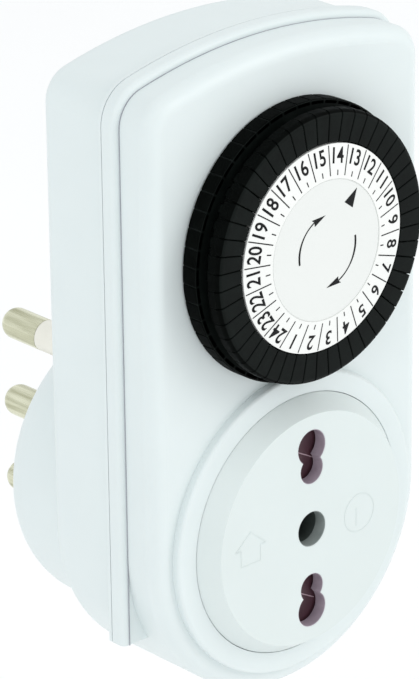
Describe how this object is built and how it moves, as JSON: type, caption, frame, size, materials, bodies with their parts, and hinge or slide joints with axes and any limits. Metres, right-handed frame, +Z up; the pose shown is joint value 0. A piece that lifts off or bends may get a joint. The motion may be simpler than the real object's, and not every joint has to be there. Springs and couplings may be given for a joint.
{
  "type": "programmable timer",
  "caption": "Plug-in mechanical day timer with a segment dial, a safety-shuttered socket on the front and a three-pin plug on the back.",
  "frame": {"origin": "root of the earth pin on the plug's wall face", "axes": "+Y into the wall along the pins, -Y towards the user, +Z up, +X to the user's right"},
  "size_m": [0.0552, 0.0711, 0.101],
  "materials": {
    "case_white": "fine satin moulding",
    "face_white": "satin moulding",
    "ring_black": "semi-matte",
    "label_white": "printed, satin",
    "disc_white": "printed, satin",
    "inner_plastic": "natural moulding",
    "shutter_plastic": "dark red moulding",
    "pin_nickel": "satin nickel",
    "sleeve_white": "insulating sleeve",
    "brass": "rolled strip",
    "steel": "drawn and zinc plated",
    "motor_metal": "pressed can",
    "wire_insulation": "PVC",
    "gear_nylon": "natural nylon"
  },
  "bodies": {
    "root": {"front_cover": "case_white", "rear_cover": "case_white", "cover_screws": "steel", "socket_face": "face_white", "socket_housing": "inner_plastic", "line_contact": "brass", "neutral_contact": "brass", "earth_contact": "brass", "shutter_spring": "steel", "line_pin": "pin_nickel", "neutral_pin": "pin_nickel", "earth_pin": "pin_nickel", "pin_sleeves": "sleeve_white", "line_strap": "brass", "neutral_strap": "brass", "earth_strap": "brass", "centre_plate": "disc_white", "centre_post": "steel", "movement_plate": "inner_plastic", "motor_plate": "inner_plastic", "arbor_pins": "steel", "motor_can": "motor_metal", "motor_wires": "wire_insulation", "switch_base": "inner_plastic", "fixed_contact": "brass", "lever_spring": "steel"},
    "dial": {"dial_wheel": "ring_black", "hour_ring": "label_white", "clutch_washer": "steel", "dial_gear": "gear_nylon"},
    "first_wheel": {"first_wheel": "gear_nylon"},
    "second_wheel": {"second_wheel": "gear_nylon"},
    "motor_pinion": {"motor_pinion": "brass"},
    "shutter": {"safety_shutter": "shutter_plastic"},
    "switch_lever": {"switch_lever": "gear_nylon", "moving_contact": "brass"},
    "tappets_hour_01": {"tappets_hour_01": "ring_black"},
    "tappets_hour_02": {"tappets_hour_02": "ring_black"},
    "tappets_hour_03": {"tappets_hour_03": "ring_black"},
    "tappets_hour_04": {"tappets_hour_04": "ring_black"},
    "tappets_hour_05": {"tappets_hour_05": "ring_black"},
    "tappets_hour_06": {"tappets_hour_06": "ring_black"},
    "tappets_hour_07": {"tappets_hour_07": "ring_black"},
    "tappets_hour_08": {"tappets_hour_08": "ring_black"},
    "tappets_hour_09": {"tappets_hour_09": "ring_black"},
    "tappets_hour_10": {"tappets_hour_10": "ring_black"},
    "tappets_hour_11": {"tappets_hour_11": "ring_black"},
    "tappets_hour_12": {"tappets_hour_12": "ring_black"},
    "tappets_hour_13": {"tappets_hour_13": "ring_black"},
    "tappets_hour_14": {"tappets_hour_14": "ring_black"},
    "tappets_hour_15": {"tappets_hour_15": "ring_black"},
    "tappets_hour_16": {"tappets_hour_16": "ring_black"},
    "tappets_hour_17": {"tappets_hour_17": "ring_black"},
    "tappets_hour_18": {"tappets_hour_18": "ring_black"},
    "tappets_hour_19": {"tappets_hour_19": "ring_black"},
    "tappets_hour_20": {"tappets_hour_20": "ring_black"},
    "tappets_hour_21": {"tappets_hour_21": "ring_black"},
    "tappets_hour_22": {"tappets_hour_22": "ring_black"},
    "tappets_hour_23": {"tappets_hour_23": "ring_black"},
    "tappets_hour_24": {"tappets_hour_24": "ring_black"}
  },
  "joints": [
    {"name": "dial_turn", "type": "hinge", "parent": "root", "child": "dial", "pos_m": [0, -0.049, 0.0444], "axis": [0, 1, 0], "continuous": true},
    {"name": "first_wheel_turn", "type": "hinge", "parent": "root", "child": "first_wheel", "pos_m": [-0.00616, -0.037, 0.06131], "axis": [0, 1, 0], "continuous": true},
    {"name": "second_wheel_turn", "type": "hinge", "parent": "root", "child": "second_wheel", "pos_m": [0.00424, -0.035, 0.05531], "axis": [0, 1, 0], "continuous": true},
    {"name": "motor_pinion_turn", "type": "hinge", "parent": "root", "child": "motor_pinion", "pos_m": [0.00834, -0.033, 0.04404], "axis": [0, 1, 0], "continuous": true},
    {"name": "shutter_turn", "type": "hinge", "parent": "root", "child": "shutter", "pos_m": [0, -0.046, 0], "axis": [0, 1, 0], "range_deg": [0, 45], "stiffness_Nm_per_rad": 0.01, "springref_deg": -17.19, "deforming": ["shutter_spring"]},
    {"name": "switch_lever_tilt", "type": "hinge", "parent": "root", "child": "switch_lever", "pos_m": [0, -0.039, 0.02], "axis": [-1, 0, 0], "range_deg": [0, 15], "stiffness_Nm_per_rad": 0.005, "springref_deg": -17.19, "deforming": ["lever_spring"]},
    {"name": "press_hour_01", "type": "slide", "parent": "dial", "child": "tappets_hour_01", "axis": [0, 1, 0], "range_m": [0, 0.0017]},
    {"name": "press_hour_02", "type": "slide", "parent": "dial", "child": "tappets_hour_02", "axis": [0, 1, 0], "range_m": [0, 0.0017]},
    {"name": "press_hour_03", "type": "slide", "parent": "dial", "child": "tappets_hour_03", "axis": [0, 1, 0], "range_m": [0, 0.0017]},
    {"name": "press_hour_04", "type": "slide", "parent": "dial", "child": "tappets_hour_04", "axis": [0, 1, 0], "range_m": [0, 0.0017]},
    {"name": "press_hour_05", "type": "slide", "parent": "dial", "child": "tappets_hour_05", "axis": [0, 1, 0], "range_m": [0, 0.0017]},
    {"name": "press_hour_06", "type": "slide", "parent": "dial", "child": "tappets_hour_06", "axis": [0, 1, 0], "range_m": [0, 0.0017]},
    {"name": "press_hour_07", "type": "slide", "parent": "dial", "child": "tappets_hour_07", "axis": [0, 1, 0], "range_m": [0, 0.0017]},
    {"name": "press_hour_08", "type": "slide", "parent": "dial", "child": "tappets_hour_08", "axis": [0, 1, 0], "range_m": [0, 0.0017]},
    {"name": "press_hour_09", "type": "slide", "parent": "dial", "child": "tappets_hour_09", "axis": [0, 1, 0], "range_m": [0, 0.0017]},
    {"name": "press_hour_10", "type": "slide", "parent": "dial", "child": "tappets_hour_10", "axis": [0, 1, 0], "range_m": [0, 0.0017]},
    {"name": "press_hour_11", "type": "slide", "parent": "dial", "child": "tappets_hour_11", "axis": [0, 1, 0], "range_m": [0, 0.0017]},
    {"name": "press_hour_12", "type": "slide", "parent": "dial", "child": "tappets_hour_12", "axis": [0, 1, 0], "range_m": [0, 0.0017]},
    {"name": "press_hour_13", "type": "slide", "parent": "dial", "child": "tappets_hour_13", "axis": [0, 1, 0], "range_m": [0, 0.0017]},
    {"name": "press_hour_14", "type": "slide", "parent": "dial", "child": "tappets_hour_14", "axis": [0, 1, 0], "range_m": [0, 0.0017]},
    {"name": "press_hour_15", "type": "slide", "parent": "dial", "child": "tappets_hour_15", "axis": [0, 1, 0], "range_m": [0, 0.0017]},
    {"name": "press_hour_16", "type": "slide", "parent": "dial", "child": "tappets_hour_16", "axis": [0, 1, 0], "range_m": [0, 0.0017]},
    {"name": "press_hour_17", "type": "slide", "parent": "dial", "child": "tappets_hour_17", "axis": [0, 1, 0], "range_m": [0, 0.0017]},
    {"name": "press_hour_18", "type": "slide", "parent": "dial", "child": "tappets_hour_18", "axis": [0, 1, 0], "range_m": [0, 0.0017]},
    {"name": "press_hour_19", "type": "slide", "parent": "dial", "child": "tappets_hour_19", "axis": [0, 1, 0], "range_m": [0, 0.0017]},
    {"name": "press_hour_20", "type": "slide", "parent": "dial", "child": "tappets_hour_20", "axis": [0, 1, 0], "range_m": [0, 0.0017]},
    {"name": "press_hour_21", "type": "slide", "parent": "dial", "child": "tappets_hour_21", "axis": [0, 1, 0], "range_m": [0, 0.0017]},
    {"name": "press_hour_22", "type": "slide", "parent": "dial", "child": "tappets_hour_22", "axis": [0, 1, 0], "range_m": [0, 0.0017]},
    {"name": "press_hour_23", "type": "slide", "parent": "dial", "child": "tappets_hour_23", "axis": [0, 1, 0], "range_m": [0, 0.0017]},
    {"name": "press_hour_24", "type": "slide", "parent": "dial", "child": "tappets_hour_24", "axis": [0, 1, 0], "range_m": [0, 0.0017]}
  ],
  "couplings": [
    {"joint": "first_wheel_turn", "follows": "dial_turn", "ratio": -5},
    {"joint": "second_wheel_turn", "follows": "dial_turn", "ratio": 15},
    {"joint": "motor_pinion_turn", "follows": "dial_turn", "ratio": -30}
  ]
}
